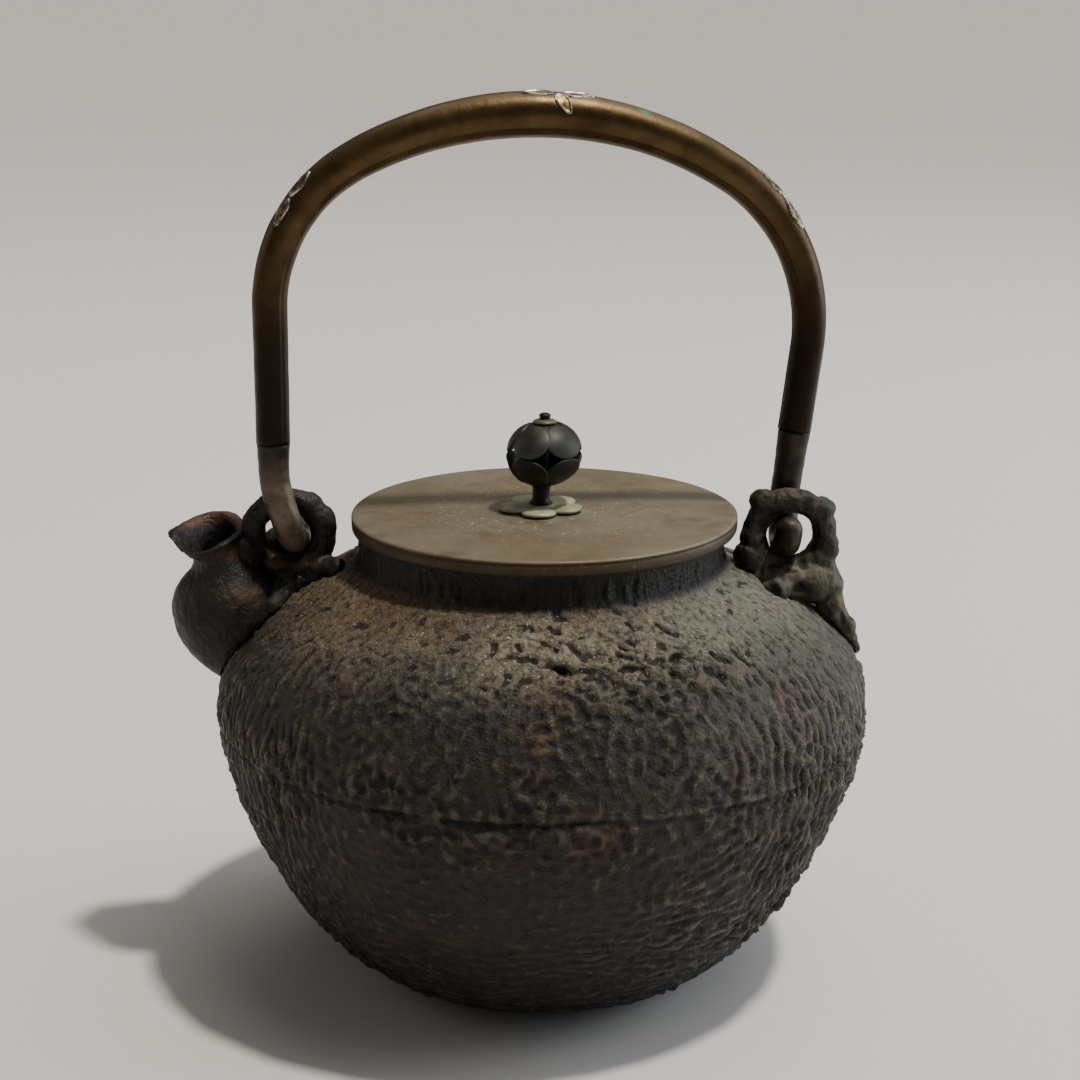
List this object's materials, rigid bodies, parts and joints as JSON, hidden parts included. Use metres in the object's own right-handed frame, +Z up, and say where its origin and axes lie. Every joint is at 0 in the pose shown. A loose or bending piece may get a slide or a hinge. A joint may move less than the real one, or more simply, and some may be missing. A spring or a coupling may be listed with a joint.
{
  "type": "cast iron kettle",
  "caption": "Round cast iron kettle with a short pouring spout, a swinging bail handle hooked through branch-like lugs, and a lift-off bronze lid with a blossom ball knob.",
  "frame": {"origin": "middle of the flat base, on the table", "axes": "+Z up along the kettle's axis, the spout points to -X, the handle's pivots lie along X"},
  "size_m": [0.1821, 0.17, 0.2306],
  "materials": {
    "cast_iron": "rough cast, browned",
    "spout_iron": "smooth cast, blackened",
    "bronze_lid": "matt olive-brown patina",
    "knob_bronze": "dark grey patina",
    "rosette_bronze": "grey-green verdigris",
    "handle_bronze": "satin brown patina",
    "hook_bronze": "worn dark patina",
    "silver_inlay": "tarnished silver"
  },
  "bodies": {
    "kettle": {"kettle_body": "cast_iron", "spout": "spout_iron", "left_lug": "spout_iron", "right_lug": "cast_iron"},
    "lid": {"lid_plate": "bronze_lid", "lid_flange": "bronze_lid"},
    "knob": {"knob_rosette": "rosette_bronze", "knob_stem": "knob_bronze", "knob_lower_petals": "knob_bronze", "knob_upper_petals": "knob_bronze", "knob_cap_washer": "rosette_bronze", "knob_pin": "knob_bronze", "knob_tail_washer": "knob_bronze"},
    "handle": {"handle_tube": "handle_bronze", "hook_left": "hook_bronze", "hook_right": "hook_bronze", "inlay_top": "silver_inlay", "inlay_left": "silver_inlay", "inlay_right": "silver_inlay"}
  },
  "joints": [
    {"name": "lid_lift", "type": "slide", "parent": "kettle", "child": "lid", "axis": [0, 0, 1], "range_m": [0, 0.06]},
    {"name": "knob_turn", "type": "hinge", "parent": "lid", "child": "knob", "pos_m": [0, 0, 0.1235], "axis": [0, 0, 1], "continuous": true},
    {"name": "handle_swing", "type": "hinge", "parent": "kettle", "child": "handle", "pos_m": [0, 0, 0.1261], "axis": [1, 0, 0], "range_deg": [-90, 90]}
  ]
}
